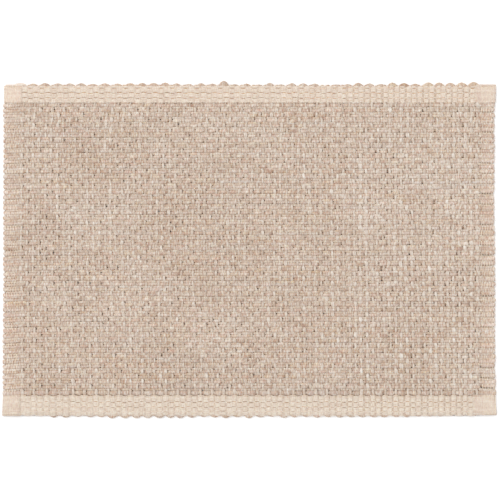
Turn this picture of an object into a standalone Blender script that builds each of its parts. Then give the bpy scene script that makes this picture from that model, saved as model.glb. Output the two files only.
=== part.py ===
"""A handwoven placemat: one flat sheet of ribbed cloth with plain hems at both ends, lying flat.

Metres, +Z up. X is the long side, Y runs from the lower hem to the upper one, and the underside is at z 0.
"""

import math
import random

import bpy
from mathutils import Vector

# Whole mat
LENGTH = 0.4798
HALF = LENGTH / 2
THICKNESS = 0.0040
SEED = 7

# Places of the cloth's parts along Y
FIELD_TOP = 0.1443
FIELD_BOTTOM = -0.1403
HEM_TOP = 0.1610
HEM_BOTTOM = -0.1617

# Thick weft ribs
RIBS = 57
RIB_STATIONS = (0.0, 0.3, 0.7)
RIB_SHAPE = (0.0, 1.0, 1.0)
RIB_CREST_Z = 0.0038
RIB_VALLEY_Z = 0.0032
SELVEDGE_CREST_Z = 0.0040
SELVEDGE_VALLEY_Z = 0.0029
SCALLOP = 0.0012
RIB_WANDER = 0.00025

# Selvedges
SELVEDGE = 0.0168
BORDER = 0.0006
INNER_COLUMNS = 3

# Hems
UPPER_HEM_ROWS = (0.1570, 0.1543, 0.1517, 0.1490, 0.1463)
LOWER_HEM_ROWS = (-0.1422, -0.1443, -0.1467, -0.1493, -0.1519, -0.1545, -0.1567)
HEM_CREST_Z = 0.0037
HEM_VALLEY_Z = 0.0034

# Bumps of the folded ends
BUMP_PITCH = 0.0113
BUMP_SHAPE = (0.0, 0.8, 1.0, 0.8)
BUMP_HEIGHT = 0.0021
BUMP_SPREAD = 0.0006
BUMP_Z = 0.0035
FIRST_BUMP = -0.2159
UPPER_BUMPS = 39
LOWER_BUMPS = 40
SMOOTH_COLUMNS = 3
UPPER_BEHIND = 0.0026
LOWER_BEHIND = 0.0036

# Unevenness of the four sides, at even steps along each, outwards
LEFT_OUT = (-0.0005, 0.0, 0.0001, -0.0002, 0.0001, 0.0000, 0.0005)
RIGHT_OUT = (-0.0001, -0.0010, -0.0008, -0.0002, 0.0004, 0.0004, 0.0014)
UPPER_OUT = (-0.0004, 0.0001, 0.0000, 0.0002, 0.0001, -0.0001, 0.0001, 0.0000, 0.0004)
LOWER_OUT = (-0.0008, 0.0001, 0.0009, 0.0008, 0.0002, 0.0001, 0.0002, 0.0001, -0.0011)

# Rounded rim
RIM_Z = 0.0017
RIM_TOP_IN = 0.0011
RIM_FOOT_IN = 0.0006
CORNER_CUT = 0.0011

CLOTH_COLOUR = (0.63, 0.50, 0.40, 1.0)


def clear_scene():
    for thing in list(bpy.data.objects):
        bpy.data.objects.remove(thing, do_unlink=True)


def along(values, share):
    """The value at this share of a list of evenly spaced ones, with soft turns between them."""
    place = min(max(share, 0.0), 1.0) * (len(values) - 1)
    i = min(int(place), len(values) - 2)
    t = place - i
    t = t * t * (3 - 2 * t)
    return values[i] * (1 - t) + values[i + 1] * t


def side_x(y, sign):
    """Where the cloth's left or right side is at this y, before its scallops."""
    share = (HEM_TOP - y) / (HEM_TOP - HEM_BOTTOM)
    return sign * (HALF + along(RIGHT_OUT if sign > 0 else LEFT_OUT, share))


def end_y(x, sign):
    """Where the cloth's upper or lower end is at this x, before its bumps."""
    share = (x + HALF) / LENGTH
    base = HEM_TOP if sign > 0 else HEM_BOTTOM
    return base + sign * along(UPPER_OUT if sign > 0 else LOWER_OUT, share)


def field_rows(rng):
    """The ribs' rows from top to bottom: y, height in the field, height in the selvedges, scallop."""
    rows = []
    pitch = (FIELD_TOP - FIELD_BOTTOM) / RIBS
    for rib in range(RIBS):
        reach = SCALLOP * rng.uniform(0.7, 1.15)
        for station, shape in zip(RIB_STATIONS, RIB_SHAPE):
            y = FIELD_TOP - (rib + station) * pitch
            field_z = RIB_VALLEY_Z + (RIB_CREST_Z - RIB_VALLEY_Z) * shape
            edge_z = SELVEDGE_VALLEY_Z + (SELVEDGE_CREST_Z - SELVEDGE_VALLEY_Z) * shape
            rows.append((y, field_z, edge_z, reach * (shape - 0.5)))
    rows.append((FIELD_BOTTOM, RIB_VALLEY_Z, SELVEDGE_VALLEY_Z, -0.5 * SCALLOP))
    return rows


def hem_rows(places, crest_first):
    rows = []
    for i, y in enumerate(places):
        z = HEM_CREST_Z if (i % 2 == 0) == crest_first else HEM_VALLEY_Z
        rows.append((y, z, HEM_CREST_Z, 0.0))
    return rows


def column_places(left, right):
    """The columns of a long row: both rims, both sides of each selvedge's border, and a few between."""
    inner_left = left + SELVEDGE - RIM_TOP_IN
    inner_right = right - SELVEDGE + RIM_TOP_IN
    places = [left, inner_left - BORDER, inner_left + BORDER]
    for i in range(1, INNER_COLUMNS + 1):
        places.append(inner_left + (inner_right - inner_left) * i / (INNER_COLUMNS + 1))
    return places + [inner_right - BORDER, inner_right + BORDER, right]


def end_columns(sign, count, rng):
    """One end's places along X with how far each reaches out: smooth corners, then bumps."""
    start = FIRST_BUMP - (0.5 if sign > 0 else 0.95) * BUMP_PITCH
    places = []
    left = side_x(sign * HEM_TOP, -1)
    right = side_x(sign * HEM_TOP, 1)
    for i in range(SMOOTH_COLUMNS):
        places.append((left + (start - left) * i / SMOOTH_COLUMNS, 0.0))
    for bump in range(count):
        height = BUMP_HEIGHT + rng.uniform(-BUMP_SPREAD, BUMP_SPREAD)
        slip = rng.uniform(-0.0007, 0.0007)
        for i, shape in enumerate(BUMP_SHAPE):
            x = start + (bump + i / len(BUMP_SHAPE)) * BUMP_PITCH
            places.append((x + (slip if i else 0.0), height * shape))
    stop = start + count * BUMP_PITCH
    for i in range(SMOOTH_COLUMNS + 1):
        places.append((stop + (right - stop) * i / SMOOTH_COLUMNS, 0.0))
    return places


class Sheet:
    """Points and faces of the mat as they are laid down."""

    def __init__(self):
        self.points = []
        self.faces = []

    def add(self, x, y, z):
        self.points.append((x, y, z))
        return len(self.points) - 1

    def strip(self, upper, lower):
        """Faces between two rows of equally many points, with the outer side up."""
        for i in range(len(upper) - 1):
            self.faces.append((upper[i], lower[i], lower[i + 1], upper[i + 1]))

    def zip(self, upper, lower):
        """Triangles between two rows with different numbers of points, with the outer side up."""
        i, j = 0, 0
        while i < len(upper) - 1 or j < len(lower) - 1:
            next_upper = self.points[upper[i + 1]][0] if i < len(upper) - 1 else math.inf
            next_lower = self.points[lower[j + 1]][0] if j < len(lower) - 1 else math.inf
            if next_upper <= next_lower:
                self.faces.append((upper[i], lower[j], upper[i + 1]))
                i += 1
            else:
                self.faces.append((upper[i], lower[j], lower[j + 1]))
                j += 1


def long_row(sheet, row, rng):
    """One row of top points from rim to rim, wandering a little so that no rib is ruler straight."""
    y, field_z, edge_z, reach = row
    left = side_x(y, -1) - reach + RIM_TOP_IN
    right = side_x(y, 1) + reach - RIM_TOP_IN
    places = column_places(left, right)
    last = len(places) - 1
    indices = []
    for i, x in enumerate(places):
        z = edge_z if i in (0, 1, last - 1, last) else field_z
        if i in (0, last):
            z *= 0.86
        wander = rng.uniform(-RIB_WANDER, RIB_WANDER) if 2 < i < last - 2 else 0.0
        indices.append(sheet.add(x, y + wander, z))
    return indices


def end_rows(sheet, sign, count, rng):
    """The rim row and the row behind it at one end. Their first and last points are on the sides."""
    rim, behind, outline = [], [], []
    places = end_columns(sign, count, rng)
    last = len(places) - 1
    back_y = HEM_TOP - UPPER_BEHIND if sign > 0 else HEM_BOTTOM + LOWER_BEHIND
    for i, (x, out) in enumerate(places):
        y = end_y(x, sign) + sign * out
        inward = {0: 1.0, last: -1.0}.get(i, 0.0)
        cut = CORNER_CUT if inward else 0.0
        outline.append((x + inward * cut, y - sign * cut, inward, -sign))
        top_x = x + inward * RIM_TOP_IN
        z = BUMP_Z * (0.84 + 0.1 * out / BUMP_HEIGHT)
        rim.append(sheet.add(top_x + inward * cut * 0.3, y - sign * (RIM_TOP_IN + cut * 0.3), z))
        behind.append(sheet.add(top_x, back_y, BUMP_Z + 0.0003 * out / BUMP_HEIGHT if not inward else BUMP_Z * 0.9))
    return rim, behind, outline


def side_outline(rows, sign):
    return [(side_x(y, sign) + sign * reach, y, -sign, 0.0) for y, _, _, reach in rows]


def build_mat(name):
    rng = random.Random(SEED)
    sheet = Sheet()
    rows = hem_rows(UPPER_HEM_ROWS, True) + field_rows(rng) + hem_rows(LOWER_HEM_ROWS, False)
    upper_rim, upper_behind, upper_line = end_rows(sheet, 1, UPPER_BUMPS, rng)
    lower_rim, lower_behind, lower_line = end_rows(sheet, -1, LOWER_BUMPS, rng)
    middle = [long_row(sheet, row, rng) for row in rows]
    sheet.strip(upper_rim, upper_behind)
    sheet.zip(upper_behind, middle[0])
    for above, below in zip(middle, middle[1:]):
        sheet.strip(above, below)
    sheet.zip(middle[-1], lower_behind)
    sheet.strip(lower_behind, lower_rim)

    # The rim's rings run once round: upper end, right side, lower end backwards, left side upwards.
    back_rows = [(sheet.points[upper_behind[0]][1], 0, 0, 0.0)]
    foot_rows = [(sheet.points[lower_behind[0]][1], 0, 0, 0.0)]
    side_rows = back_rows + rows + foot_rows
    top_ring = list(upper_rim) + [upper_behind[-1]] + [row[-1] for row in middle] + [lower_behind[-1]]
    top_ring += lower_rim[::-1] + [lower_behind[0]] + [row[0] for row in middle[::-1]] + [upper_behind[0]]
    line = upper_line + side_outline(side_rows, 1) + lower_line[::-1] + side_outline(side_rows, -1)[::-1]
    rim_ring = [sheet.add(x, y, RIM_Z) for x, y, _, _ in line]
    foot_ring = [sheet.add(x + u * RIM_FOOT_IN, y + v * RIM_FOOT_IN, 0.0) for x, y, u, v in line]
    sheet.strip(rim_ring + rim_ring[:1], top_ring + top_ring[:1])
    sheet.strip(foot_ring + foot_ring[:1], rim_ring + rim_ring[:1])
    close_underside(sheet, foot_ring, len(upper_rim), len(side_rows), len(lower_rim))
    return make_object(name, sheet)


def close_underside(sheet, ring, upper, side, lower):
    """The flat underside, in strips from side to side with finer ones behind the bumps of each end."""
    upper_foot = ring[:upper]
    right = ring[upper:upper + side]
    lower_foot = ring[upper + side:upper + side + lower][::-1]
    left = ring[upper + side + lower:][::-1]

    def straight_row(end_foot, k):
        y = sheet.points[left[k]][1]
        inner = [sheet.add(sheet.points[p][0], y, 0.0) for p in end_foot[1:-1]]
        return [left[k]] + inner + [right[k]]

    def coarse_row(k):
        y = sheet.points[left[k]][1]
        x0, x1 = sheet.points[left[k]][0], sheet.points[right[k]][0]
        inner = [sheet.add(x0 + (x1 - x0) * i / 8, y, 0.0) for i in range(1, 8)]
        return [left[k]] + inner + [right[k]]

    rows = [coarse_row(1)] + [[left[k], right[k]] for k in range(2, side - 2)] + [coarse_row(side - 2)]
    upper_row, lower_row = straight_row(upper_foot, 0), straight_row(lower_foot, side - 1)
    sheet.strip(upper_row, upper_foot)
    sheet.strip(lower_foot, lower_row)
    for above, below in zip([upper_row] + rows, rows + [lower_row]):
        sheet.zip(below, above)


def make_object(name, sheet):
    mesh = bpy.data.meshes.new(name)
    centre = [(min(p[k] for p in sheet.points) + max(p[k] for p in sheet.points)) / 2 for k in (0, 1)]
    offset = Vector((centre[0], centre[1], 0.0))
    mesh.from_pydata([Vector(p) - offset for p in sheet.points], [], sheet.faces)
    mesh.validate()
    mesh.update()
    mat = bpy.data.objects.new(name, mesh)
    bpy.context.scene.collection.objects.link(mat)
    return mat


def cloth_material():
    material = bpy.data.materials.new("woven_cotton")
    material.use_nodes = True
    shader = material.node_tree.nodes["Principled BSDF"]
    shader.inputs["Base Color"].default_value = CLOTH_COLOUR
    shader.inputs["Roughness"].default_value = 0.95
    shader.inputs["Metallic"].default_value = 0.0
    return material


clear_scene()
build_mat("mat").data.materials.append(cloth_material())
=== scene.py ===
"""A handwoven placemat, yarn by yarn, laid flat on a pale table and seen from straight above.

Lengths are in millimetres until a mesh is made. X runs with the weft, Y with the warp, Z up.
A sign of -1 means the left side or the lower fold, and 1 the right side or the upper fold.
"""

import math
from types import SimpleNamespace

import bpy
import numpy as np
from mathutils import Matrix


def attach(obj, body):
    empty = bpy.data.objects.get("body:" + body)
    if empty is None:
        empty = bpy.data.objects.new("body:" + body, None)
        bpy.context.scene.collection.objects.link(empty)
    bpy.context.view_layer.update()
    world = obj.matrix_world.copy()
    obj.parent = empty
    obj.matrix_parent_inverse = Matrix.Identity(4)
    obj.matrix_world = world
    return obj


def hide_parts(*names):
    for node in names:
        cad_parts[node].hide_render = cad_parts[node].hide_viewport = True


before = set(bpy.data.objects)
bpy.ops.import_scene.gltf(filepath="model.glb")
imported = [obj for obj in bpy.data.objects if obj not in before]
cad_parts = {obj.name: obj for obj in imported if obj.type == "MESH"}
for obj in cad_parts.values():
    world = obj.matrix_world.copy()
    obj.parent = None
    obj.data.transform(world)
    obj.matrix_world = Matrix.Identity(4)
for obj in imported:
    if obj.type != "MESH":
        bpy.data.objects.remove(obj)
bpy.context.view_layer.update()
rng = np.random.default_rng(11)

# Places, measured over the mat and moved so that the outline is centred
SHIFT = (0.327, -0.754)
HALF = 239.9
FIELD_TOP, FIELD_BOTTOM = 144.3, -140.3
HEM_TOP, HEM_BOTTOM = 161.0, -161.7

# How far the sides and the folds reach beyond these places, from top to bottom or from left to right
LEFT_OUT = (0.1, -0.3, -0.2, -0.1, 0.0, 0.4, 0.5)
RIGHT_OUT = (-0.4, -0.5, -0.8, -0.1, 0.3, 0.1, 2.0)
UPPER_OUT = (0.1, 0.3, 0.2, -0.4, -0.6, -0.6, -0.2, 0.2, 1.0)
LOWER_OUT = (-2.2, -0.4, 0.4, 0.1, 0.1, -0.5, 0.5, -0.7, -2.9)

# How far each hem's two ends reach beyond HALF, at its seam with the field and at its fold
HEM_OUT = {(-1, 1): (-0.75, -0.65), (1, 1): (0.1, 0.8), (-1, -1): (0.2, 1.2), (1, -1): (-0.5, 1.5)}

# The field's rows of weft, from the top down, and its warps, from left to right
ROWS = 57
FIRST_ROW = 142.5
ROW = 4.993
WARPS = 77
FIRST_WARP = -216.2
WARP = 5.698
MIDDLE = 1.9

# How far the warps stray to the right of even places, from left to right, in four of the rows
STRAY_ROWS = (0, 6, 28, 50)
WARP_STRAY = (
    (1.6, 3.0, 3.3, 4.6, 4.2, 3.2, 0.0, 0.1, -0.7),
    (-0.1, 0.5, 0.8, 2.3, 2.1, 1.8, -0.6, 0.1, -0.9),
    (-0.8, 0.8, 0.3, 1.0, 1.0, 1.0, -0.4, -1.8, -0.6),
    (0.6, 4.0, 3.9, 3.5, 1.8, 2.2, 1.0, 0.0, -0.4),
)

# How far the rows, groups of rows and warps wander, and over what length
ROW_WANDER = (0.12, 60)
GROUP_WANDER = (0.3, 90)
WARP_WANDER = (0.36, 45)
GROUPS = 8

# The selvedges' width and the fine warps in each
SELVEDGE = 16.8
FINE_WARPS = 10

# The hems' rows, how far apart their strands are, and how many each row has where that isn't four
UPPER_BANDS = (159.7, 156.2, 151.2, 146.5)
LOWER_BANDS = (-144.4, -150.3, -155.1, -159.2)
STRAND = 0.98
STRAND_COUNTS = {UPPER_BANDS[0]: 2, LOWER_BANDS[0]: 6, LOWER_BANDS[-1]: 3}

# Where the first and the last strand lie in a hem's left corner and in its right one, the points that
# a strand has there, and how far the first strands fall short at the upper left
UPPER_CORNERS = ((161.0, 145.0), (161.1, 145.0))
LOWER_CORNERS = ((-141.2, -160.5), (-141.2, -159.7))
CORNER_POINTS = 12
ROUND_OFF = 1.3

# The bumps in each fold: the first one's place, their pitch, how many, and how far they stray
UPPER_BUMPS = (-210.9, 11.31, 39, (0.0, 2.0, 4.3, 5.0, 4.5, 2.9, 0.3, 0.1, 0.1))
LOWER_BUMPS = (-215.8, 11.2, 40, (0.0, 4.3, 4.9, 2.7, 3.3, 2.7, 1.7, -0.2, -0.4))
FLAT_BUMP = 25
BIG_BUMP = 16
BUMP_POINTS = 8

# The angles of the corners in each kind of yarn's section, in degrees
WEFT_SECTION = (8, 60, 120, 172, 270)
WARP_SECTION = (0, 60, 120, 180, 240, 300)
FINE_SECTION = (0, 72, 144, 216, 288)
STRAND_SECTION = (10, 90, 170, 270)
FOLD_SECTION = (0, 45, 90, 135, 180, 225, 270, 315)


def smooth(t):
    """A share from 0 to 1, made to start and end softly."""
    return t * t * (3 - 2 * t)


def along(values, share):
    """The values at these shares of an evenly spaced list, with soft turns between them."""
    place = np.clip(share, 0.0, 1.0) * (len(values) - 1)
    i = np.minimum(place.astype(int), len(values) - 2)
    t = smooth(place - i)
    v = np.array(values)
    return v[i] * (1 - t) + v[i + 1] * t


def side_x(y, sign):
    """Where a side of the field lies at y."""
    share = (HEM_TOP - np.asarray(y, float)) / (HEM_TOP - HEM_BOTTOM)
    return sign * (HALF + along(RIGHT_OUT if sign > 0 else LEFT_OUT, share))


def hem_x(y, sign):
    """Where a hem's left or right end lies at y."""
    upper = 1 if y > 0 else -1
    seam, fold = (FIELD_TOP, HEM_TOP) if upper > 0 else (FIELD_BOTTOM, HEM_BOTTOM)
    inner, outer = HEM_OUT[(sign, upper)]
    return sign * (HALF + inner + (outer - inner) * (y - seam) / (fold - seam))


def end_y(x, sign):
    """Where a fold lies at x."""
    share = (np.asarray(x, float) + HALF) / (2 * HALF)
    base = HEM_TOP if sign > 0 else HEM_BOTTOM
    return base + sign * along(UPPER_OUT if sign > 0 else LOWER_OUT, share)


def drift(n, step, length):
    """Smooth noise for n points a step apart, with a bump in each length and a spread of about 1."""
    knots = rng.normal(size=int(n * step / length) + 4)
    at = np.arange(n) * step / length + 1 + rng.uniform(0, 1)
    i = at.astype(int)
    t = smooth(at - i)
    return knots[i] * (1 - t) + knots[np.minimum(i + 1, len(knots) - 1)] * t


def wander(count, n, step, far, length):
    """This many separate lines of noise, each of n points a step apart."""
    return np.stack([drift(n, step, length) for _ in range(count)]) * far


def crossings():
    """X and Y of each warp's place in each row, with the small wander of a hand loom."""
    warp_x = FIRST_WARP + np.arange(WARPS) * WARP
    stray = np.stack([along(v, np.arange(WARPS) / (WARPS - 1)) for v in WARP_STRAY])
    stray = np.stack([np.interp(np.arange(ROWS), STRAY_ROWS, v) for v in stray.T], 1)
    bends = wander(ROWS, WARPS, WARP, *ROW_WANDER)
    groups = wander(GROUPS, WARPS, WARP, *GROUP_WANDER)
    place = np.linspace(0, GROUPS - 1, ROWS)
    k = np.minimum(place.astype(int), GROUPS - 2)
    t = (place - k)[:, None]
    bends += groups[k] * (1 - t) + groups[k + 1] * t
    from_hems = np.minimum(np.arange(ROWS), np.arange(ROWS)[::-1])
    fade = np.minimum(1, from_hems / 3)[:, None]
    warp_bends = wander(WARPS, ROWS, ROW, *WARP_WANDER)
    return warp_x[None, :] + stray + warp_bends.T, row_y[:, None] + bends * fade


row_y = FIRST_ROW - np.arange(ROWS) * ROW
cross_x, cross_y = crossings()
lumps = rng.normal(size=(13, 9))


def blotch(x, y):
    """Soft unevenness of the whole cloth, in patches some 40 mm across, with a spread of about 1."""
    across, down = lumps.shape[0] - 1, lumps.shape[1] - 1
    u = np.clip((np.asarray(x, float) + HALF) / (2 * HALF), 0, 0.999) * across
    v = np.clip((np.asarray(y, float) + HEM_TOP) / (2 * HEM_TOP), 0, 0.999) * down
    i, k = u.astype(int), v.astype(int)
    s, t = smooth(u - i), smooth(v - k)
    low = lumps[i, k] * (1 - s) + lumps[i + 1, k] * s
    high = lumps[i, k + 1] * (1 - s) + lumps[i + 1, k + 1] * s
    return low * (1 - t) + high * t


# Painted shade: how much of each colour a yarn's tint loses towards its sides and underside
SIDE_SHADE = np.array([0.0, 0.16, 0.3])
# A paler stretch of yarn is also greyer and a darker one browner: these powers, one a colour, do that
WARMTH = np.array([0.72, 1.0, 1.25])
# What share of a colour in the photo a yarn reflects to show it under the studio's bright light
REFLECTED = 0.8


def colour(r, g, b):
    """What a yarn reflects to show as this 8-bit colour."""
    c = np.array([r, g, b]) / 255.0
    return REFLECTED * np.where(c <= 0.04045, c / 12.92, ((c + 0.055) / 1.055) ** 2.4)


def shaded(tint, amount):
    """A tint made brighter or darker by this amount, or by one amount for each point."""
    return tint * np.clip(np.asarray(amount), 0.2, 3.0)[..., None] ** WARMTH


def saturated(tint, amount):
    """A tint made richer or greyer by one amount for each point."""
    grey = tint.mean(-1, keepdims=True)
    return grey + (tint - grey) * np.asarray(amount)[..., None]


TAUPE = colour(209, 189, 174)
ROSE = colour(211, 187, 172)
SAND = colour(206, 186, 167)
DARK = colour(190, 166, 148)
PALE = colour(224, 210, 197)
THREAD = colour(206, 188, 171)
THREAD_END = colour(226, 199, 172)
WARP_PALE = colour(211, 196, 182)
CREAM = colour(234, 219, 200)
BAND_CREAM = colour(234, 222, 209)
# The warps' cream inside the hems, painted darker and browner as the shade they lie in under the fine weft
BAND_PAINTED_SHADE = colour(205, 176, 152)
# The brown of a thread laid in the hems' gaps as painted shade
GAP_SHADE_BROWN = colour(225, 196, 170)

# How the hems' corners, the lower hem, the last row and the first row's light yarn are toned down
CORNER = np.array([0.955, 0.913, 0.905])
LOWER_HEM = np.array([0.98, 0.99, 0.99])
LAST_ROW = 0.96
# The first row's light yarn is painted darker and warmer as shade at its seam with the upper hem
FIRST_THREAD_SHADE = np.array([0.98, 0.95, 0.93])
# What share of each colour the rows lose at their ends
ROW_ENDS = np.array([0.0, 0.025, 0.035])

# Stretches of other colours along a yarn: each one's colour, length, threshold and strength
TAUPE_STRETCHES = ((ROSE, 9, 0.3, 0.7), (SAND, 14, 0.3, 0.8), (DARK, 7, 0.6, 0.8), (PALE, 8, 0.9, 0.45))
THREAD_STRETCHES = ((SAND, 10, 0.3, 0.9), (ROSE, 8, 0.6, 0.7), (PALE, 12, 0.4, 0.45))

# About how far apart the points of a yarn of weft are
STEP = 1.4


def marled(base, stretches, n):
    """Colours along a hand-spun yarn of n points."""
    total = np.tile(base, (n, 1))
    for tone, length, least, most in stretches:
        share = np.clip(drift(n, STEP, length) - least, 0, 1)[:, None] * most
        total = total * (1 - share) + tone * share
    return saturated(total, 1 + 0.07 * drift(n, STEP, 45) + 0.03 * drift(n, STEP, 4))


def slub_tint(n):
    """Colours along the thick yarn: a taupe marl with rose, sand, dark and pale stretches."""
    total = marled(TAUPE, TAUPE_STRETCHES, n)
    return shaded(total, 1 + 0.02 * drift(n, STEP, 40) + 0.03 * drift(n, STEP, 3))


def thread_tint(n):
    """Colours along the cream yarn laid beside the thick one."""
    total = marled(THREAD, THREAD_STRETCHES, n)
    return shaded(total, 1 + 0.03 * drift(n, STEP, 4))


def fuller(v):
    """The sines or cosines of a section's angles, raised a little to make it less round."""
    return np.sign(v) * np.abs(v) ** 0.85


def centred(points):
    """Points moved from their measured places to the mat's own."""
    return points - np.array([SHIFT[0], SHIFT[1], 0.0])


class Tubes:
    """Many yarns gathered into one mesh."""

    def __init__(self, angles, inner=1.0):
        self.angles = np.radians(angles)
        self.inner = inner * SIDE_SHADE
        self.points, self.colours, self.quads, self.caps, self.uv = [], [], [], [], []
        self.count = 0

    def lay(self, path, wide, high, tint):
        """One yarn along a path of points, with its half width and half height at each, and its colour."""
        path = np.asarray(path, float)
        n, s = len(path), len(self.angles)
        wide, high = np.broadcast_to(wide, n), np.broadcast_to(high, n)
        way = np.gradient(path, axis=0)
        way /= np.linalg.norm(way, axis=1, keepdims=True)
        side = np.cross([0.0, 0.0, 1.0], way)
        side /= np.linalg.norm(side, axis=1, keepdims=True)
        up = np.cross(way, side)
        c, d = fuller(np.cos(self.angles)), fuller(np.sin(self.angles))
        across = side[:, None] * (wide[:, None] * c)[..., None]
        above = up[:, None] * (high[:, None] * d)[..., None]
        self.points.append((path[:, None] + across + above).reshape(-1, 3))
        # Painted shade: the tint darkens and browns towards the yarn's sides and underside
        inner = np.clip((0.72 - d) / 0.9, 0, 1)[:, None] * self.inner
        tint = np.broadcast_to(tint, (n, 3))[:, None]
        self.colours.append((tint * (1 - inner)[None]).reshape(-1, 3))
        self.add_faces(n, s)
        self.unwrap(path, s)
        self.count += n * s

    def add_faces(self, n, s):
        """The sides of a yarn of n rings of s points, and its two flat ends."""
        first, rings, turn = self.count, np.arange(n - 1)[:, None] * s, np.arange(s)
        a = first + rings + turn[None, :]
        b = first + rings + (turn[None, :] + 1) % s
        self.quads.append(np.stack([a, a + s, b + s, b], -1).reshape(-1, 4))
        self.caps += [first + turn, first + (n - 1) * s + turn[::-1]]

    def unwrap(self, path, s):
        """Texture places: U along the yarn, in centimetres from a random start, and V once around it."""
        lengths = np.linalg.norm(np.diff(path, axis=0), axis=1)
        u = np.concatenate([[0], np.cumsum(lengths)]) / 10 + rng.uniform(0, 50)
        v = np.arange(s + 1) / s
        corners = np.zeros((len(path) - 1, s, 4, 2))
        corners[..., 0, 0] = corners[..., 3, 0] = u[:-1, None]
        corners[..., 1, 0] = corners[..., 2, 0] = u[1:, None]
        corners[..., 0, 1] = corners[..., 1, 1] = v[None, :-1]
        corners[..., 2, 1] = corners[..., 3, 1] = v[None, 1:]
        self.uv.append(corners.reshape(-1, 2))

    def build(self, name, material):
        """The mesh of all the yarns, with nothing of it below the table."""
        points = centred(np.concatenate(self.points))
        points[:, 2] = np.maximum(points[:, 2], 0.0)
        quads, caps = np.concatenate(self.quads), np.array(self.caps)
        uv = np.concatenate(self.uv + [np.zeros((caps.size, 2))])
        return make_mesh(name, points, [quads, caps], np.concatenate(self.colours), uv, material)


def make_mesh(name, points, groups, colours, uv, material):
    """A piece from points, groups of faces, a colour for each point and a texture place for each corner."""
    mesh = bpy.data.meshes.new(name)
    loops = np.concatenate([g.reshape(-1) for g in groups]).astype(np.int32)
    sizes = np.concatenate([np.full(len(g), g.shape[1]) for g in groups]).astype(np.int32)
    starts = np.concatenate([[0], np.cumsum(sizes)[:-1]]).astype(np.int32)
    rgba = np.column_stack([colours, np.ones(len(points))])
    mesh.vertices.add(len(points))
    mesh.vertices.foreach_set("co", (points * 0.001).astype(np.float32).reshape(-1))
    mesh.loops.add(len(loops))
    mesh.loops.foreach_set("vertex_index", loops)
    mesh.polygons.add(len(sizes))
    mesh.polygons.foreach_set("loop_start", starts)
    mesh.polygons.foreach_set("use_smooth", np.ones(len(sizes), bool))
    mesh.update(calc_edges=True)
    tint = mesh.attributes.new("tint", "FLOAT_COLOR", "POINT")
    tint.data.foreach_set("color", rgba.astype(np.float32).reshape(-1))
    mesh.uv_layers.new(name="Yarn").data.foreach_set("uv", uv.astype(np.float32).reshape(-1))
    mesh.materials.append(material)
    piece = bpy.data.objects.new(name, mesh)
    bpy.context.scene.collection.objects.link(piece)
    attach(piece, "root")
    return piece


# Weft. A yarn has four points at each warp: these are their places past it in X, and their heights there
DIVE_X, DIVE_Z = (0.0, 2.0, 3.2, 4.4), (-1.0, -0.3, 0.5, 0.9)
FLOAT_X, FLOAT_Z = (0.0, 1.4, 2.7, 3.7), (1.0, 0.9, 0.5, -0.3)

# Each end of a yarn has this many points, and the last one in lies this far from the side
END_POINTS = 7
END_IN = 13.2

# How far the thick yarn of the last row swells beside the lower hem, at a warp's four points
LAST_SWELL = np.array([1.0, 0.95, 0.6, 0.0])

# The two yarns of a row: a thick taupe one, and a cream one beside it
THICK = SimpleNamespace(
    middle=-0.95,  # its line, beside the row's
    half=1.84,  # half its width
    tall=1.4,  # half its height
    crimp=0.35,  # how far it rises over a warp and dives under the next
    right_aside=-0.3,  # how far it draws aside at a hole to the right of a warp on top
    left_aside=0.36,  # how far at a hole to the left of a warp on top
    spot_aside=0.0,  # how far at a spot to the left of a warp below
    bow=0.22,  # how far it bows where it lies on top
    # The next two give painted shade: how much darker the yarn is painted at holes and at spots
    left_hole_shade=0.17,  # how much darker it is at a hole to the left of a warp on top
    spot_shade=0.0,  # how much darker at a spot to the left of a warp below
    end_glow=0.02,  # how much paler it is at the sides
    # Its end points: how far each lies from the side, how far up along Y, and its share of the size
    end_x=np.array([0.0, 0.5, 1.3, 3.0, 6.0, 9.5, END_IN]),
    end_y=np.array([0.9, 0.9, 0.8, 0.4, 0.1, 0.0, 0.0]),
    end_wide=np.array([0.42, 0.9, 1.12, 1.06, 0.98, 0.96, 0.98]),
    end_high=np.array([0.4, 0.75, 0.95, 1.0, 1.02, 1.02, 1.0]),
)
LIGHT = SimpleNamespace(
    middle=1.5,
    half=1.5,
    tall=1.22,
    crimp=0.42,
    right_aside=0.27,
    left_aside=0.1,
    spot_aside=0.3,
    bow=0.0,
    left_hole_shade=0.07,
    spot_shade=0.08,
    end_glow=0.05,
    end_x=np.array([2.4, 2.9, 3.8, 5.5, 8.0, 10.5, END_IN]),
    end_y=np.zeros(END_POINTS),
    end_wide=np.array([0.5, 0.8, 0.9, 0.92, 0.9, 0.9, 0.95]),
    end_high=np.array([0.4, 0.8, 0.95, 1.0, 1.0, 1.0, 1.0]),
)


def between_ends(values):
    """Values for the points between a yarn's two ends, with nothing for those of the ends."""
    return np.concatenate([np.zeros(END_POINTS), values, np.zeros(END_POINTS)])


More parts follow.
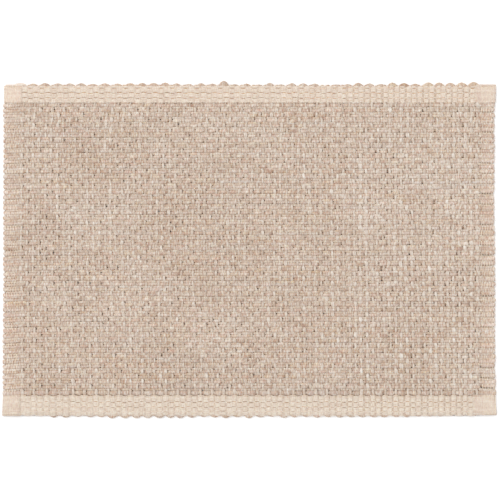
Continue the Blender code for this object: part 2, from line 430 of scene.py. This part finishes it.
def row_middle(j, yarn, under):
    """A yarn of row j between its ends: its X, Y and Z, its narrowing and its painted shade at holes and
    spots.
    """
    at_x = np.concatenate([cross_x[j, :1] - WARP, cross_x[j], cross_x[j, -1:] + WARP])
    at_y = np.concatenate([cross_y[j, :1], cross_y[j], cross_y[j, -1:]])
    n = len(at_x)
    right = np.clip(at_x / HALF, 0, 1)
    # Holes open beside a warp on top: right of it, where the yarn comes up, and left of it, where it dives;
    # painted shade darkens the yarn there too
    right_hole = under * (0.12 + 1.85 * rng.uniform(0, 1, n) ** 2) * (1 - 0.35 * at_x / HALF)
    right_hole = right_hole * (0.5 if j == 0 else 1.0)
    left_hole = (1 - under) * (0.05 + 1.55 * rng.uniform(0, 1, n) ** 2)
    left_hole = left_hole * (0.6 + 0.35 * (1 + at_x / HALF) ** 2) * (1 + 0.25 * right)
    # Lesser unevenness: the yarn's bow over a warp, and spots of painted shade beside a warp below, where
    # it also draws aside
    crease = (1 - under) * rng.uniform(0.2, 1.0, n)
    spot = under * rng.uniform(0.2, 1.0, n) * np.clip(0.3 + at_x / HALF, 0, 1)
    none = np.zeros(n)
    dives = under[:, None] > 0
    aside = np.stack([none, yarn.right_aside * right_hole, none, yarn.left_aside * left_hole], 1)
    aside[:, 3] -= yarn.spot_aside * spot
    aside += yarn.bow * np.stack([none, 0.5 * crease, crease, 0.5 * crease], 1)
    sunk = np.stack([none, 0.12 * right_hole, none, 0.18 * left_hole], 1)
    hole_shade = yarn.left_hole_shade * left_hole + yarn.spot_shade * spot
    x = at_x[:, None] + np.where(dives, [DIVE_X], [FLOAT_X])
    y = at_y[:, None] + yarn.middle + aside
    z = yarn.crimp * np.where(dives, [DIVE_Z], [FLOAT_Z]) - sunk
    pinch = 1 - np.stack([0.06 * under, 0.17 * right_hole, none, 0.14 * left_hole], 1)
    # Painted shade: the yarn's tint is darker at the holes and the spots
    shade = 1 - np.stack([none, 0.07 * right_hole, none, hole_shade], 1)
    return [v.reshape(-1) for v in (x, y, z, pinch, shade)]


def with_ends(j, yarn, x, y, z, pinch):
    """The yarn with its two ends, which scallop the sides: X, Y, Z, half width and half height."""
    left, right = float(side_x(row_y[j], -1)), float(side_x(row_y[j], 1))
    reach = np.zeros(2)
    if yarn is THICK:
        reach = rng.uniform(0.2, 0.8, 2) * np.array([1.0, 1.6]) - np.array([0.0, 0.92])
    left_x = left - reach[0] + yarn.end_x
    right_x = (right + reach[1] - 0.95 * yarn.end_x)[::-1]
    x[-4:] = np.minimum(x[-4:], right_x[0] - np.array([2.4, 1.8, 1.2, 0.6]))
    droop = 0.75 + 0.55 * max(j / ROWS - 0.5, 0.0) / 0.5 + rng.uniform(-0.22, 0.22)
    fall = 1 - (yarn.end_x / SELVEDGE) ** 1.5
    left_y = y[0] - droop * fall + yarn.end_y
    right_y = y[-1] + (yarn.end_y - 0.3 * fall)[::-1]
    x, y = np.concatenate([left_x, x, right_x]), np.concatenate([left_y, y, right_y])
    wide = yarn.half * np.concatenate([0.98 * yarn.end_wide, pinch, 1.06 * yarn.end_wide[::-1]])
    high = yarn.tall * np.concatenate([yarn.end_high, pinch, yarn.end_high[::-1]])
    return x, y, MIDDLE + between_ends(z), wide, high


def row_tint(j, yarn, x, y, lump, under, shade):
    """Colours along a yarn of row j: paler at the sides, darker in lumps, with painted light: a highlight
    on top over a warp, shade beside holes, and a gradient brighter to the right and top.
    """
    tint = slub_tint(len(x)) if yarn is THICK else thread_tint(len(x))
    tint = shaded(tint, 1 - 0.14 * lump)
    end = np.clip((np.abs(x) - 226) / 12, 0, 1)
    at_end = np.clip(end * 4, 0, 1)
    lit = 1 + yarn.end_glow * at_end + 0.12 * end ** 2 - 0.025 * np.clip((x - 224) / 6, 0, 1)
    # Painted light: brighter towards the mat's right and top; the painted shade at holes and spots follows
    lit = lit * (1.022 + 0.022 * x / HALF + 0.02 * y / HEM_TOP)
    lit[END_POINTS:-END_POINTS] *= shade
    over = between_ends(np.repeat(1 - under, 4))
    # Painted highlight: paler where the yarn lies on top of a warp
    crest_highlight = between_ends(np.tile([1.0, 0.5, 0.0, 0.5], len(under)))
    tint = shaded(tint, lit * (0.97 + 0.07 * over * crest_highlight) * (1 + 0.035 * blotch(x, y)))
    tint = tint * (1 - at_end[:, None] * ROW_ENDS)
    if j == ROWS - 1:
        tint = tint * LAST_ROW
    if j == 0 and yarn is LIGHT:
        tint = tint * FIRST_THREAD_SHADE
    return tint


def lay_row(tubes, j, yarn):
    """One of the two yarns of row j, from side to side."""
    under = ((np.arange(-1, WARPS + 1) + j) % 2 == 1).astype(float)
    x, y, z, pinch, shade = row_middle(j, yarn, under)
    x, y, z, wide, high = with_ends(j, yarn, x, y, z, pinch)
    n = len(x)
    lump = np.clip(drift(n, STEP, 11) - 1.1, 0, 1)
    slub = 1 + 0.06 * drift(n, STEP, 24) + 0.05 * drift(n, STEP, 5) + 0.1 * lump
    y = y + 0.1 * drift(n, STEP, 6)
    z = z + 0.08 * drift(n, STEP, 5)
    if j == ROWS - 1 and yarn is THICK:
        bulge = between_ends(((1 - under)[:, None] * LAST_SWELL).reshape(-1))
        y = y - 0.7 - 0.3 * bulge
        wide = wide + 0.5 + 0.6 * bulge
        z = z + 0.2 * bulge
    tint = row_tint(j, yarn, x, y, lump, under, shade)
    if j == 0 and yarn is LIGHT:
        y = y + 0.15
    tubes.lay(np.stack([x, y, z], 1), wide * np.clip(slub, 0.9, 1.15), high * slub, tint)


def weft_rows(yarn):
    """One of the two yarns of every row."""
    tubes = Tubes(WEFT_SECTION)
    for j in range(ROWS):
        lay_row(tubes, j, yarn)
    return tubes


# Warps. The extra ones beside the field's first and last, and how far from these they lie
EXTRA_WARPS = {-1: -WARP, -2: -WARP - 1.7, WARPS: WARP, WARPS + 1: WARP + 1.7}

# A warp's points over a row after the one halfway to the row above: place in Y, height and half width
WARP_POINTS = ((1.6, 0.85, 1.5), (0.0, 1.0, 1.65), (-1.6, 0.95, 1.6))
HALFWAY_WIDE = 1.2
HALFWAY_HIGH = 0.5
WARP_CRIMP = 1.15
WARP_TALL = 0.45
WARP_LEAN = 0.1

# Its height and half height in a hem, and how far above a hem's row its first point lies, in the first
# row and in the others
HEM_WARP_Z = 2.15
HEM_WARP_TALL = 0.36
FIRST_REACH = 2.0
HEM_REACH = 2.55

# Its two last points at a fold, how far inside it and how high, and its half width there
FOLD_POINTS = ((0.8, 1.0), (1.4, 2.0))
FOLD_WIDE = 0.95


def warp_in_field(i, j, cx, cy, slow, shade):
    """Warp i at row j: four points of X, Y, Z, half width and half height, and their colour."""
    over = 1.0 if (i + j) % 2 == 1 else -1.0
    points = []
    for at, lift, wide in ((ROW / 2, 0.0, HALFWAY_WIDE), *WARP_POINTS):
        height = over * WARP_CRIMP * lift if lift else HALFWAY_HIGH
        points.append([cx - WARP_LEAN * at / 1.5 * over, cy + at, MIDDLE + height, wide, WARP_TALL])
    if j == ROWS - 1:
        points[2][1] -= 0.3
        points[3][1] -= 0.9
    points[1][0] += 0.25 * rng.normal()
    points[2][0] += 0.2 * rng.normal()
    sunk = over * rng.uniform(-0.4, 0.05)
    points[1][2] += sunk
    points[2][2] += sunk
    right = min(max(cx / HALF, 0.0), 1.0)
    outermost = i < -1 or i > WARPS
    grow = (0.95 + 0.12 * slow + rng.uniform(-0.22, 0.22)) * (0.6 if outermost else 1.0 + 0.25 * right)
    glow = 1 + 0.085 * right + 0.02 * slow + 0.035 * rng.normal()
    if j == 0:
        grow, glow = grow * (0.6 + 0.5 * right), glow * (0.93 + 0.08 * right)
    if j == ROWS - 1:
        glow *= 0.97
    for point in points:
        point[3] *= grow
    return points, shaded(WARP_PALE * shade, glow)


def warp_in_hem(cx, cy, reach):
    """A warp at one row of a hem, where it runs straight under the fine weft."""
    steps = ((reach, 0.0, HALFWAY_WIDE), *WARP_POINTS)
    return [[cx, cy + at, HEM_WARP_Z, wide, HEM_WARP_TALL] for at, _, wide in steps]


def lay_warp(tubes, i):
    """Warp i, from fold to fold."""
    column = min(max(i, 0), WARPS - 1)
    slow = drift(ROWS, ROW, 40)
    near = cross_x[:, column] + EXTRA_WARPS.get(i, 0.0)
    shade = shaded(np.ones(3), 1 + 0.04 * rng.normal())
    points = []
    for band in UPPER_BANDS:
        points += warp_in_hem(near[0], band, FIRST_REACH if band == UPPER_BANDS[0] else HEM_REACH)
    # In the hems the warp takes the painted-shade colour; its turns at the folds keep the plain cream
    tones = [BAND_PAINTED_SHADE * shade] * len(points)
    for j in range(ROWS):
        row, tone = warp_in_field(i, j, near[j], cross_y[j, column], slow[j], shade)
        points += row
        tones += [tone] * len(row)
    for band in LOWER_BANDS:
        row = warp_in_hem(near[-1], band, HEM_REACH)
        points += row
        tones += [BAND_PAINTED_SHADE * shade] * len(row)
    base = float(near.mean())
    top, foot = float(end_y(base, 1)), float(end_y(base, -1))
    first = [[near[0], top - inside, z, FOLD_WIDE, HEM_WARP_TALL] for inside, z in FOLD_POINTS]
    last = [[near[-1], foot + inside, z, FOLD_WIDE, HEM_WARP_TALL] for inside, z in reversed(FOLD_POINTS)]
    turn = [BAND_CREAM * shade] * len(FOLD_POINTS)
    path = np.array(first + points + last)
    tones = np.array(turn + tones + turn)
    wide = path[:, 3] * (1 + 0.08 * drift(len(path), 1.25, 14))
    tones = shaded(tones, 1 + 0.05 * drift(len(path), 1.25, 10))
    tubes.lay(path[:, :3], wide, path[:, 4], tones)


def warp_lines(parity):
    """Every second warp of the field, over one row and under the next."""
    tubes = Tubes(WARP_SECTION)
    extra = (-1, WARPS) if parity else (-2, WARPS + 1)
    for i in (*extra, *range(parity, WARPS, 2)):
        lay_warp(tubes, i)
    return tubes


def levels(centre):
    """Where the fine strands of one row of a hem lie, from the top down."""
    count = STRAND_COUNTS.get(centre, 4)
    return centre + STRAND * ((count - 1) / 2 - np.arange(count))


# Fine warps. Their height in the hems and how far it waves there, their height under a row, their points
# over a row in Y and Z, and their height between two rows at the left side and at the right
FINE_Z = 2.95
FINE_WAVE = 0.06
FINE_UNDER = 0.6
FINE_POINTS = ((1.3, 2.5), (0.2, 2.5), (-1.1, 2.6))
FINE_BETWEEN = {-1: 1.8, 1: 2.3}


def fine_in_hem(bands, m):
    """Fine warp m in a hem, over one strand and under the next: its points' Y and Z."""
    lines = [y for band in bands for y in levels(band)]
    return [(y, FINE_Z + FINE_WAVE * (1 if (m + n) % 2 else -1)) for n, y in enumerate(lines)]


def fine_at_row(j, over, lift, between):
    """A fine warp at row j, over or under it, after a point between the rows: its points' Y and Z."""
    points = [(row_y[j] + ROW / 2 - 0.3, between if over else FINE_Z + 0.5 * lift)]
    for at, high in FINE_POINTS:
        points.append((row_y[j] + at - 0.3, high + lift if over else FINE_UNDER))
    return points


def fine_warps():
    """The close fine cream warps of both selvedges."""
    tubes = Tubes(FINE_SECTION)
    for sign in (-1, 1):
        shows = rng.uniform(-0.25, 0.45, ROWS)
        for m in range(FINE_WARPS):
            points = fine_in_hem(UPPER_BANDS, m)
            for j in range(ROWS):
                points += fine_at_row(j, (m + j) % 2 == 0, shows[j], FINE_BETWEEN[sign])
            points += fine_in_hem(LOWER_BANDS, m)
            y, z = np.array(points).T
            inward = 1.7 + m * (SELVEDGE - 5.3) / (FINE_WARPS - 1)
            x = side_x(y, sign) - sign * inward + 0.08 * drift(len(y), 1.3, 12)
            tubes.lay(np.stack([x, y, z], 1), 0.44, 0.3, CREAM * (1 + 0.04 * rng.normal()))
    return tubes


# Hems. How far the strands of a pick bow over the warps and spread between these, how high they lie,
# and half their width and height
SWAY = 0.5
SPREAD = 1.17 / STRAND
STRAND_Z = 3.0
STRAND_WIDE = 0.69
STRAND_TALL = 0.5

# Over a warp a strand has five points: their places past it, and how deep they sink
OVER_X = (-2.7, -1.6, 0.0, 1.6, 2.7)
OVER_SINK = (0.5, 0.15, 0.0, 0.15, 0.5)


def roll(y):
    """How far the strands near a hem's fold turn down towards the table."""
    gap = min(abs(y - HEM_TOP), abs(y - HEM_BOTTOM))
    return 0.5 * min(max(1 - (gap - 1.1) / 3.0, 0.0), 1.0) ** 2


def bow(centre, pick, s):
    """How far strand s of a pick bows up or down over a warp."""
    if centre == UPPER_BANDS[0]:
        return -0.5 if pick == 0 else 0.0
    far = SWAY if pick == 0 else -SWAY
    return far * (1 - s / 3) if centre == UPPER_BANDS[-1] else far


def strand_between(near, pick, centre, level, far):
    """A strand between its corners, over every second warp and under the others: X, Y, Z and painted light,
    with shade where it dives.
    """
    x, y, z, lit = [], [], [], []
    edge = centre + SPREAD * (level - centre)
    for i, warp in enumerate(near):
        if i % 2 == pick:
            share = min(max(warp / HALF - 0.05, 0.0) / 0.5, 1.0)
            groove = 0.2 + 0.85 * share if centre > 0 else 0.55 + 0.55 * share
            x += [warp + at for at in OVER_X]
            y += [edge, level + 0.9 * far, level + far, level + 0.9 * far, edge]
            z += [STRAND_Z - roll(level) - sink * groove for sink in OVER_SINK]
            # Painted shade: darker where the strand sinks into the groove beside a warp
            lit += [1 - 0.22 * groove, 0.99, 1.02, 0.99, 1 - 0.18 * groove]
        else:
            x.append(warp)
            y.append(centre + 0.6 * (level - centre))
            z.append(2.05)
            # Painted shade where the strand lies under the other pick
            lit.append(0.85)
    return x, y, z, lit


def with_corners(near, level, ends, s, strand):
    """A strand with its closely woven ends in the hem's two corners: X, Y, Z, painted light and half width.
    """
    (left_y, right_y), (x, y, z, lit) = ends, strand
    left, right = hem_x(level, -1) + (ROUND_OFF if level > 160.0 else 0.0), hem_x(level, 1)
    steps = np.concatenate([[0.0, 0.03], np.linspace(0.09, 1, CORNER_POINTS - 2)])
    fallen = np.array([0.8, 0.3] + [0.0] * (CORNER_POINTS - 2))
    left_x = left + (near[0] - 3.0 - left) * steps
    right_x = right + (near[-1] + 3.0 - right) * steps[::-1]
    odd = 0 if level > 0 else 1
    weave = 0.04 * np.where(np.arange(CORNER_POINTS) % 2 == (s + odd) % 2, 1, -1)
    weave = 2.85 - fallen + weave - roll(left_y)
    x = [*left_x, *x, *right_x]
    y = [left_y] * CORNER_POINTS + y + [right_y] * CORNER_POINTS
    z = [*weave, *z, *weave[::-1]]
    # Painted light: paler on the two points at the hem's edge; the last point, beside the first warp, is
    # darker
    glow = [1.07, 1.03] + [1.0] * (CORNER_POINTS - 3) + [0.9]
    wide = [0.9] * CORNER_POINTS + [STRAND_WIDE] * len(lit) + [0.9] * CORNER_POINTS
    return x, y, z, glow + lit + glow[::-1], wide


def lay_picks(tubes, bands, near):
    """The strands of a hem: two picks to a row, each over every second warp, with corners on the first."""
    upper = bands[0] > 0
    count = sum(len(levels(centre)) for centre in bands)
    corners = UPPER_CORNERS if upper else LOWER_CORNERS
    left_y, right_y = (np.linspace(first, last, count) for first, last in corners)
    laid = 0
    for centre in bands:
        for pick in (0, 1):
            for s, level in enumerate(levels(centre)):
                strand = strand_between(near, pick, centre, level, bow(centre, pick, s))
                wide = [STRAND_WIDE] * len(strand[0])
                if pick == 0:
                    ends = left_y[laid + s], right_y[laid + s]
                    *strand, wide = with_corners(near, level, ends, s, strand)
                x, y, z, lit = strand
                x, z, lit = np.array(x), np.array(z), np.array(lit)
                y = np.array(y) + 0.06 * drift(len(x), 2, 9)
                # Painted shade: the lower hem's first strands, at the seam with the field, are darker; they
                # also lie lower
                if centre == LOWER_BANDS[0]:
                    lit = lit * min(0.9 + 0.045 * s, 1.0)
                    z = z - max(0.45 - 0.22 * s, 0.0)
                lit = lit * (1 + 0.02 * rng.normal() + 0.045 * drift(len(x), 1.8, 8))
                tone = shaded(BAND_CREAM, lit)
                if not upper:
                    tone = tone * LOWER_HEM
                if pick == 0:
                    tone[:CORNER_POINTS - 1] *= CORNER * (1.05 if upper else 1.0)
                    tone[1 - CORNER_POINTS:] *= CORNER
                tubes.lay(np.stack([x, y, z], 1), np.array(wide), STRAND_TALL, tone)
        laid += len(levels(centre))


def lay_gap_shade_threads(tubes, bands, near):
    """A thread in each gap between two rows of a hem, which shows as brown dashes: painted shade for the
    shadowed gaps.
    """
    upper = bands[0] > 0
    odd = np.repeat(1 - np.arange(len(near)) % 2, 4)
    between = np.tile([1.0, 0.0, 0.0, 1.0], len(near))
    for n, (above, below) in enumerate(zip(bands[:-1], bands[1:])):
        line = (levels(above)[-1] + levels(below)[0]) / 2
        x = np.repeat(near, 4) + np.tile([-2.5, -1.5, 1.5, 2.5], len(near))
        right = np.clip(x / HALF, 0, 1)
        left = np.clip(-x / HALF - 0.4, 0, 1)
        hidden = between * ((0.25 + 0.75 * right) if upper else 1.0)
        if below == LOWER_BANDS[-1]:
            hidden = np.maximum(hidden, 0.8 * (1 - odd))
        y = line + 0.9 * SWAY * (2 * odd - 1) * (1 - 0.6 * between) + 0.1 * drift(len(x), 2, 9)
        high = 2.68 + 0.06 * right if upper else 2.57 + 0.1 * n + 0.3 * left
        z = high + 0.12 * drift(len(x), 2, 14) + 0.3 * hidden - roll(line)
        paler = 0.2 * right if upper else 0.15 + 0.2 * n + 0.6 * left
        pale = np.clip(hidden + paler, 0, 1)[:, None]
        # Painted shade: brown in the open gaps, turning cream where the thread is hidden or paler
        tone = GAP_SHADE_BROWN * (1 - pale) + BAND_CREAM * pale
        tone = shaded(tone, 1 + 0.12 * drift(len(x), 2, 9) * (1 - pale[:, 0]))
        tubes.lay(np.stack([x, y, z], 1), 0.6, 0.3, tone)


def lay_upper_corner(tubes):
    """The low swelling of the fold beside the upper left corner."""
    n = 13
    x = np.linspace(-229.5, -217.5, n)
    swell = np.sin(np.linspace(0, math.pi, n)) ** 0.4
    y = end_y(x, 1) - 0.9 + 1.5 * swell
    tubes.lay(np.stack([x, y, 2.2 + 0 * x], 1), 0.5 + 1.0 * swell, 0.8, np.tile(BAND_CREAM, (n, 1)))


def lay_lower_corner(tubes):
    """The loop of thread that looks out of the fold at the lower left corner."""
    out = np.array([-0.9, -0.3, 0.3, 0.6, 0.4, -0.2, -0.9])
    x = np.linspace(-234.6, -230.4, len(out))
    y = end_y(x, -1) - out
    tubes.lay(np.stack([x, y, 1.6 + 0 * x], 1), 0.8, 0.7, np.tile(THREAD_END, (len(out), 1)))


def hem_weft(bands):
    """The fine cream weft of one hem."""
    # The strands take a fifth more of the painted side shade than other yarns
    tubes = Tubes(STRAND_SECTION, 1.2)
    upper = bands[0] > 0
    near = cross_x[0] + 1.1 if upper else cross_x[-1] - 0.4
    near = np.concatenate([[near[0] - (5.7 if upper else 4.6)], near])
    lay_picks(tubes, bands, near)
    lay_gap_shade_threads(tubes, bands, near)
    if upper:
        lay_upper_corner(tubes)
    else:
        lay_lower_corner(tubes)
    return tubes


# In each fold: how far in its thick yarn lies, how far a bump brings it out, its half width, how much a
# bump adds to that, and its tint
FOLDS = {
    1: (2.6, 2.6, 1.9, 0.65, np.array([0.93, 0.9, 0.86])),
    -1: (3.5, 2.3, 2.25, 0.3, np.array([0.97, 0.96, 0.95])),
}


def fold_yarns():
    """The thick yarn in each fold, which shows as bumps between the warps."""
    tubes = Tubes(FOLD_SECTION)
    for sign, (first, pitch, count, strays) in ((1, UPPER_BUMPS), (-1, LOWER_BUMPS)):
        inset, push, half, spread, tint = FOLDS[sign]
        n = count * BUMP_POINTS + 1
        phase = np.arange(n) / BUMP_POINTS
        x = first + (phase - 0.5) * pitch + along(strays, phase / count)
        x = x + 0.5 * drift(n, pitch / BUMP_POINTS, 10)
        size = rng.uniform(0.6, 1.2, count + 1)
        if sign > 0:
            size[FLAT_BUMP], size[BIG_BUMP] = 0.2, 1.8
        size = np.repeat(size, BUMP_POINTS)[:n]
        swell = (0.5 - 0.5 * np.cos(2 * math.pi * phase)) ** (0.65 + 0.25 * size)
        out = 1.04 * size * swell
        y = end_y(x, sign) + sign * (push * out - inset)
        z = 1.5 + 0.15 * swell
        tubes.lay(np.stack([x, y, z], 1), half + spread * out, 1.15 + 0.05 * out, slub_tint(n) * tint)
    return tubes


def hem_layer(name, sign, material):
    """The folded-under layer of a hem: a thin cloth under its face, ribbed on its underside."""
    lines, columns, ribs = 13, 161, 9
    inner = FIELD_TOP - 1.0 if sign > 0 else FIELD_BOTTOM + 1.0
    outer = HEM_TOP if sign > 0 else HEM_BOTTOM
    top, low = [], []
    for t in np.linspace(0, 1, lines):
        rough = inner + (outer - inner) * t
        x = np.linspace(hem_x(rough, -1) + 0.5, hem_x(rough, 1) - 0.5, columns)
        y = inner + (end_y(x, sign) - sign * 0.7 - inner) * t
        full = np.sin(math.pi * min(max(t, 0.0), 1.0)) ** 0.3
        rib = 0.12 * np.cos(2 * math.pi * t * ribs)
        top.append(np.stack([x, y, np.full_like(x, 1.3 + 0.55 * full)], 1))
        low.append(np.stack([x, y, np.full_like(x, 0.25 + rib * full + 0.75 * (1 - full))], 1))
    points = centred(np.concatenate(top + low))
    a = np.arange(lines * columns).reshape(lines, columns)
    b = a + a.size
    up = np.stack([a[:-1, :-1], a[:-1, 1:], a[1:, 1:], a[1:, :-1]], -1).reshape(-1, 4)
    down = np.stack([b[:-1, :-1], b[1:, :-1], b[1:, 1:], b[:-1, 1:]], -1).reshape(-1, 4)
    edge = np.concatenate([a[0, :], a[1:, -1], a[-1, -2::-1], a[-2:0:-1, 0]])
    foot = edge + a.size
    rim = np.stack([edge, foot, np.roll(foot, -1), np.roll(edge, -1)], -1)
    quads = np.concatenate([up, down, rim])
    if sign < 0:
        quads = quads[:, ::-1]
    uv = points[quads.reshape(-1)][:, :2] / 10
    # Its cream is painted a tenth darker as shade, where it shows through the gaps of the hem above
    return make_mesh(name, points, [quads], np.tile(BAND_CREAM * 0.9, (len(points), 1)), uv, material)


# A Map Range node's limits for three values at once: their names are those of its plain limits, so these
# are their places among its inputs
FROM_LOW, FROM_HIGH, TO_LOW, TO_HIGH = 7, 8, 9, 10


def add(tree, kind, values=None, wires=None, **options):
    """A new node with these options, and with these values and wires at its inputs."""
    node = tree.nodes.new(kind)
    for key, option in options.items():
        setattr(node, key, option)
    for key, value in (values or {}).items():
        node.inputs[key].default_value = value
    for key, socket in (wires or {}).items():
        tree.links.new(socket, node.inputs[key])
    return node


def new_material(name, values):
    """A material, its node tree, and its shader with these values."""
    material = bpy.data.materials.new(name)
    material.use_nodes = True
    shader = material.node_tree.nodes["Principled BSDF"]
    for key, value in values.items():
        shader.inputs[key].default_value = value
    return material, material.node_tree, shader


def speckle(tree, base, noise, strength):
    """A colour made paler and darker by a noise, with the warmth that goes with it."""
    tone = add(tree, "ShaderNodeMapRange", wires={"Vector": noise}, data_type="FLOAT_VECTOR")
    for k, share in enumerate(WARMTH.tolist()):
        tone.inputs[FROM_LOW].default_value[k] = 0.3
        tone.inputs[FROM_HIGH].default_value[k] = 0.7
        tone.inputs[TO_LOW].default_value[k] = 1.0 - share * strength
        tone.inputs[TO_HIGH].default_value[k] = 1.0 + share * strength
    factors = {0: base, 1: tone.outputs["Vector"]}
    return add(tree, "ShaderNodeVectorMath", wires=factors, operation="MULTIPLY").outputs["Vector"]


def about(tree, noise, middle, spread):
    """A noise made to vary by this spread about this middle."""
    limits = {"From Min": 0.35, "From Max": 0.65, "To Min": middle - spread, "To Max": middle + spread}
    return add(tree, "ShaderNodeMapRange", limits, {"Value": noise}).outputs["Result"]


def yarn_material(name, streak, fleck, richness, twist, depth):
    """Cotton yarn: its own tint, broken up by fibre streaks and flecks, with the relief of its twist.

    Streaks change its brightness, flecks its hue and richness its saturation. Twist is the relief's
    scale and depth its height in metres.
    """
    look = {"Roughness": 0.92, "Specular IOR Level": 0.15, "Sheen Weight": 0.12, "Sheen Roughness": 0.5}
    material, tree, shader = new_material(name, look)
    tint = add(tree, "ShaderNodeAttribute", attribute_name="tint").outputs["Color"]
    uv = add(tree, "ShaderNodeUVMap", uv_map="Yarn").outputs["UV"]
    place = add(tree, "ShaderNodeTexCoord").outputs["Object"]
    skew = {"Scale": (2.6, 0.5, 1.0), "Rotation": (0.0, 0.0, 0.5)}
    skewed = add(tree, "ShaderNodeMapping", skew, {"Vector": uv}).outputs["Vector"]
    stretch = {"Scale": (1.0, 0.2, 0.3)}
    stretched = add(tree, "ShaderNodeMapping", stretch, {"Vector": place}).outputs["Vector"]
    noises = ((3.0, skewed), (1250.0, stretched), (1200.0, place))
    fibres, flecks, patches = (
        add(tree, "ShaderNodeTexNoise", {"Scale": scale, "Detail": 1.0}, {"Vector": vector}).outputs["Fac"]
        for scale, vector in noises
    )
    hue, rich = about(tree, flecks, 0.5, fleck), about(tree, patches, 1.0, richness)
    shifts = {"Color": tint, "Hue": hue, "Saturation": rich}
    result = add(tree, "ShaderNodeHueSaturation", wires=shifts).outputs["Color"]
    result = speckle(tree, result, fibres, 0.6 * streak)
    result = speckle(tree, result, flecks, 2.2 * streak)
    tree.links.new(result, shader.inputs["Base Color"])
    ply = {"Scale": twist, "Distortion": 2.5, "Detail": 1.0}
    bands = {"wave_type": "BANDS", "bands_direction": "DIAGONAL"}
    wave = add(tree, "ShaderNodeTexWave", ply, {"Vector": uv}, **bands).outputs["Fac"]
    sums = {0: wave, 2: fibres}
    both = add(tree, "ShaderNodeMath", {1: 0.7}, sums, operation="MULTIPLY_ADD").outputs["Value"]
    relief = add(tree, "ShaderNodeBump", {"Strength": 0.6, "Distance": depth}, {"Height": both})
    tree.links.new(relief.outputs["Normal"], shader.inputs["Normal"])
    return material


def plain_floor():
    """A pale table top, a little uneven in tone."""
    mesh = bpy.data.meshes.new("table_top")
    mesh.from_pydata([(-3, -3, 0), (3, -3, 0), (3, 3, 0), (-3, 3, 0)], [], [(0, 1, 2, 3)])
    floor = bpy.data.objects.new("table_top", mesh)
    bpy.context.scene.collection.objects.link(floor)
    look = {"Roughness": 0.9, "Specular IOR Level": 0.1}
    material, tree, shader = new_material("pale_table", look)
    noise = add(tree, "ShaderNodeTexNoise", {"Scale": 6.0})
    ramp = add(tree, "ShaderNodeValToRGB", wires={"Fac": noise.outputs["Fac"]})
    ramp.color_ramp.elements[0].color = (0.93, 0.93, 0.93, 1)
    ramp.color_ramp.elements[1].color = (0.95, 0.95, 0.95, 1)
    tree.links.new(ramp.outputs["Color"], shader.inputs["Base Color"])
    mesh.materials.append(material)


def soft_light():
    """White light from all around, and a large soft lamp high up at the left and beyond the mat."""
    world = bpy.data.worlds.new("studio")
    bpy.context.scene.world = world
    world.use_nodes = True
    background = world.node_tree.nodes["Background"]
    background.inputs["Color"].default_value = (1.0, 1.0, 1.0, 1.0)
    background.inputs["Strength"].default_value = 1.06
    lamp = bpy.data.lights.new("softbox", "AREA")
    lamp.shape = "RECTANGLE"
    lamp.size = 3.0
    lamp.size_y = 3.0
    lamp.energy = 110.0
    box = bpy.data.objects.new("softbox", lamp)
    box.location = (-2.25, 2.75, 3.75)
    box.rotation_euler = (math.radians(-36), math.radians(-31), 0.0)
    bpy.context.scene.collection.objects.link(box)


def camera():
    """A long lens straight above, which shows a square of this width at the height of the mat's top."""
    width, top = 0.4875, 0.0035
    lens = bpy.data.cameras.new("camera")
    lens.lens = 120.0
    lens.sensor_width = 36.0
    lens.clip_end = 20.0
    view = bpy.data.objects.new("camera", lens)
    view.location = (0.000307, 0.00129, top + width * lens.lens / lens.sensor_width)
    bpy.context.scene.collection.objects.link(view)
    bpy.context.scene.camera = view


# Each yarn's streaks, flecks, richness, twist and depth of relief
slub = yarn_material("slub_cotton", 0.125, 0.014, 0.4, 1.6, 0.0002)
warp_cotton = yarn_material("warp_cotton", 0.09, 0.008, 0.32, 3.0, 0.00012)
cream_cotton = yarn_material("cream_cotton", 0.04, 0.012, 0.28, 4.0, 0.00006)

# The random draws follow this order, so it decides how each piece looks
cloth = weft_rows(THICK).build("taupe_weft", slub)
others = [
    weft_rows(LIGHT).build("light_weft", slub),
    warp_lines(0).build("warps_even", warp_cotton),
    warp_lines(1).build("warps_odd", warp_cotton),
    fine_warps().build("selvedge_warps", cream_cotton),
    hem_weft(UPPER_BANDS).build("upper_hem_weft", cream_cotton),
    hem_weft(LOWER_BANDS).build("lower_hem_weft", cream_cotton),
    fold_yarns().build("fold_yarns", slub),
    hem_layer("upper_hem_fold", 1, cream_cotton),
    hem_layer("lower_hem_fold", -1, cream_cotton),
]
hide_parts("mat")

plain_floor()
soft_light()
camera()
bpy.context.scene.view_settings.view_transform = "Standard"
bpy.context.scene.view_settings.look = "None"
